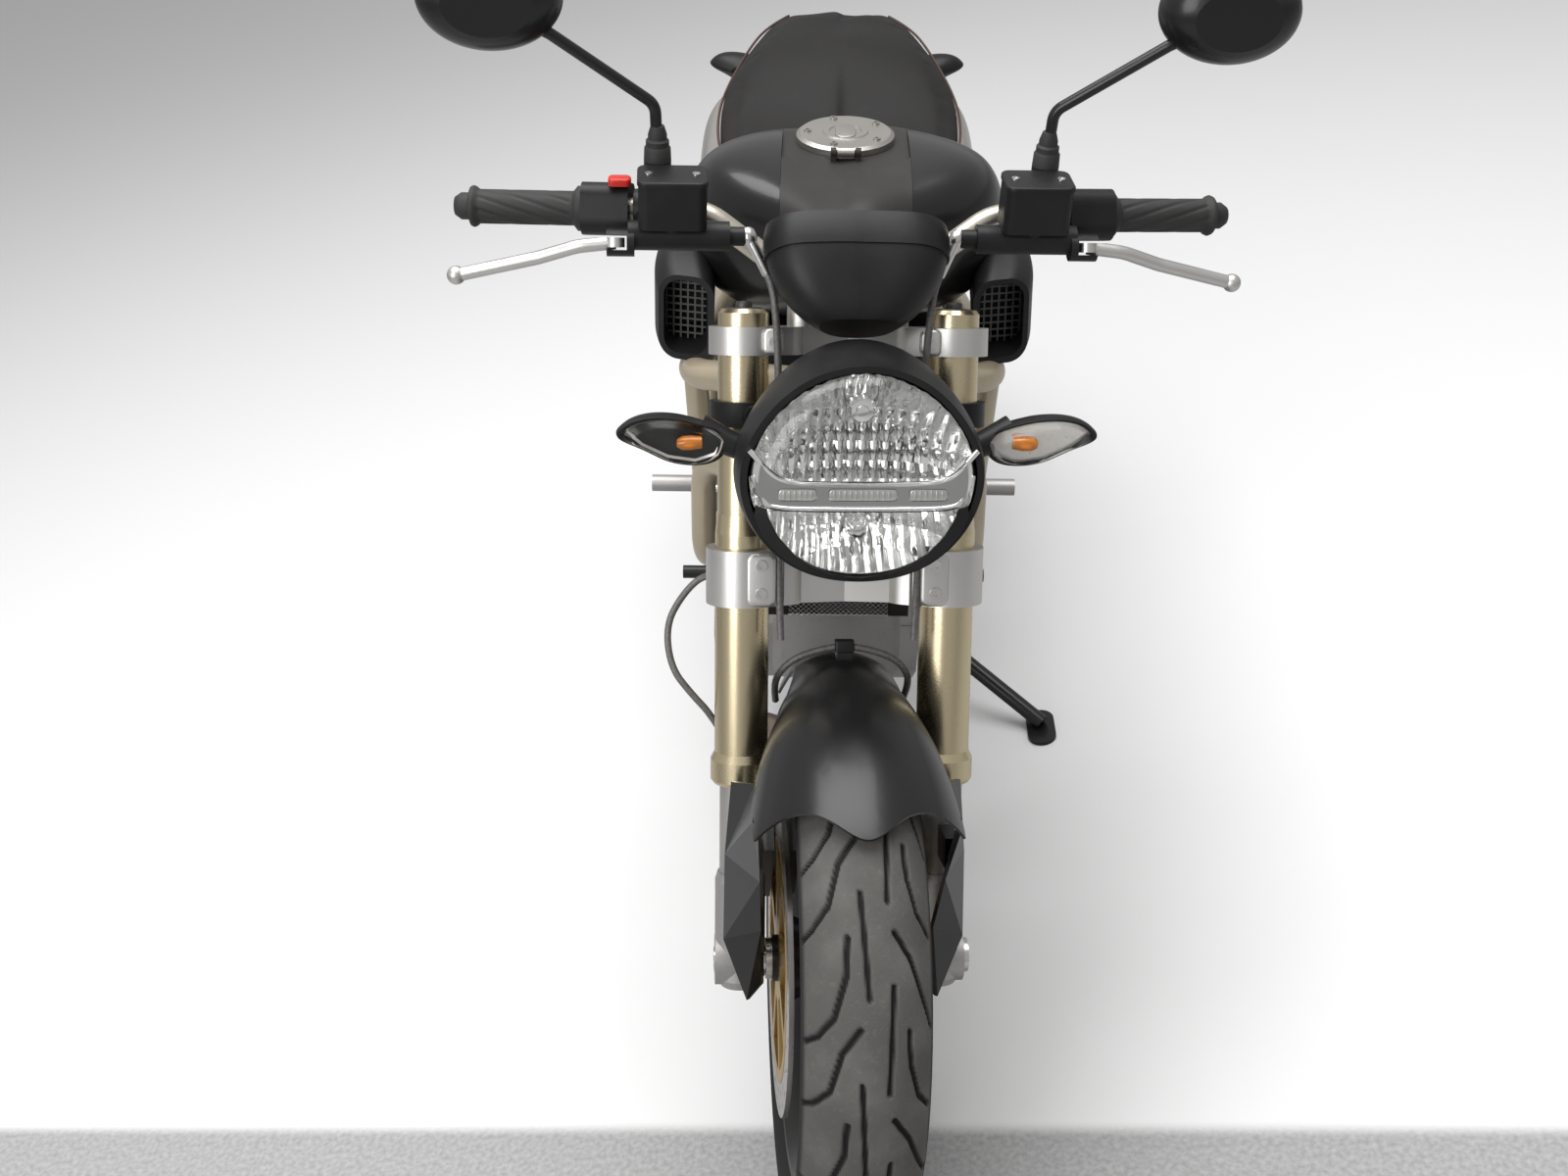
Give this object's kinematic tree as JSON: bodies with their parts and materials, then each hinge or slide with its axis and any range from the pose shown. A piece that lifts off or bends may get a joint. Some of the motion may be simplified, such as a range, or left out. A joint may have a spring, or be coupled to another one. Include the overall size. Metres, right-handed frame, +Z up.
{
  "type": "standard motorcycle",
  "caption": "Unfaired road motorcycle parked on its side stand, with turning wheels, a steered fork, a folding stand and a hinged fuel cap.",
  "frame": {"origin": "on the ground, under the middle of the whole bike's bounding box as it stands leaning on its side stand", "axes": "+Z up from the ground, the bike heads towards -Y and its left side is towards +X"},
  "size_m": [0.8198, 2.0624, 1.2939],
  "materials": {
    "frame_enamel": "satin",
    "black_steel": "satin",
    "cast_alloy": "satin",
    "dark_alloy": "satin",
    "gold_alloy": "satin",
    "silver_alloy": "satin",
    "bright_steel": "polished",
    "disc_steel": "satin",
    "heated_steel": "satin",
    "silencer_steel": "satin",
    "black_plastic": "satin",
    "gloss_black": "gloss",
    "tank_paint": "gloss",
    "panel_matte": "matte",
    "seat_cover": "matte",
    "tyre_rubber": "matte",
    "grip_rubber": "matte",
    "hose_braid": "satin",
    "lamp_glass": "gloss",
    "lamp_reflector": "polished",
    "clear_lens": "gloss",
    "red_lens": "gloss",
    "mirror_glass": "polished",
    "cap_alloy": "satin",
    "bar_alloy": "satin"
  },
  "bodies": {
    "chassis": {"frame": "frame_enamel", "subframe": "black_steel", "crankcase": "cast_alloy", "front_cylinder": "cast_alloy", "rear_cylinder": "cast_alloy", "engine_covers": "dark_alloy", "oil_cooler": "black_steel", "exhaust_pipes": "heated_steel", "silencers": "silencer_steel", "airbox": "black_plastic", "fuel_tank": "tank_paint", "tank_panel": "panel_matte", "intake_ducts": "black_plastic", "intake_grilles": "silver_alloy", "rear_indicator_lenses": "clear_lens", "seat": "seat_cover", "tail_cowl": "black_plastic", "tail_lamp": "red_lens", "plate_hanger": "black_plastic", "rear_indicators": "black_plastic", "swingarm": "cast_alloy", "rear_axle": "bright_steel", "shock": "black_steel", "chain": "bright_steel", "rear_caliper": "dark_alloy", "footrests": "cast_alloy", "foot_controls": "black_steel"},
    "steering": {"fork_tubes": "gold_alloy", "fork_sliders": "cast_alloy", "front_axle": "bright_steel", "lower_clamp": "silver_alloy", "upper_clamp": "silver_alloy", "handlebar": "bar_alloy", "grips": "grip_rubber", "bar_controls": "black_plastic", "levers": "silver_alloy", "mirrors": "gloss_black", "mirror_glasses": "mirror_glass", "headlamp_shell": "black_plastic", "headlamp_reflector": "lamp_reflector", "headlamp_lens": "lamp_glass", "headlamp_trim": "lamp_reflector", "instrument": "black_plastic", "front_indicators": "black_plastic", "front_indicator_lenses": "clear_lens", "front_fender": "gloss_black", "front_calipers": "dark_alloy", "brake_hoses": "hose_braid"},
    "front_wheel": {"front_tyre": "tyre_rubber", "front_rim": "black_steel", "front_discs": "disc_steel", "front_disc_carriers": "gold_alloy"},
    "rear_wheel": {"rear_tyre": "tyre_rubber", "rear_rim": "black_steel", "rear_disc": "disc_steel", "rear_sprocket": "bright_steel"},
    "stand": {"side_stand": "black_steel"},
    "cap": {"fuel_cap": "cap_alloy"}
  },
  "joints": [
    {"name": "steering", "type": "hinge", "parent": "chassis", "child": "steering", "pos_m": [-0.14855, -0.69973, 0.28212], "axis": [0.1586, 0.4067, 0.8997], "range_deg": [-37, 27]},
    {"name": "front_wheel_spin", "type": "hinge", "parent": "steering", "child": "front_wheel", "pos_m": [-0.14325, -0.73067, 0.29517], "axis": [0.9749, 0.0796, -0.2079], "continuous": true},
    {"name": "rear_wheel_spin", "type": "hinge", "parent": "chassis", "child": "rear_wheel", "pos_m": [-0.14407, 0.71921, 0.30756], "axis": [0.9848, 0, -0.1736], "continuous": true},
    {"name": "side_stand_fold", "type": "hinge", "parent": "chassis", "child": "stand", "pos_m": [-0.04452, 0.08121, 0.12347], "axis": [0.5043, -0.1172, 0.8555], "range_deg": [0, 119.7]},
    {"name": "fuel_cap_hinge", "type": "hinge", "parent": "chassis", "child": "cap", "pos_m": [-0.02668, -0.24279, 0.97329], "axis": [0.9848, 0, -0.1736], "range_deg": [0, 100]}
  ]
}
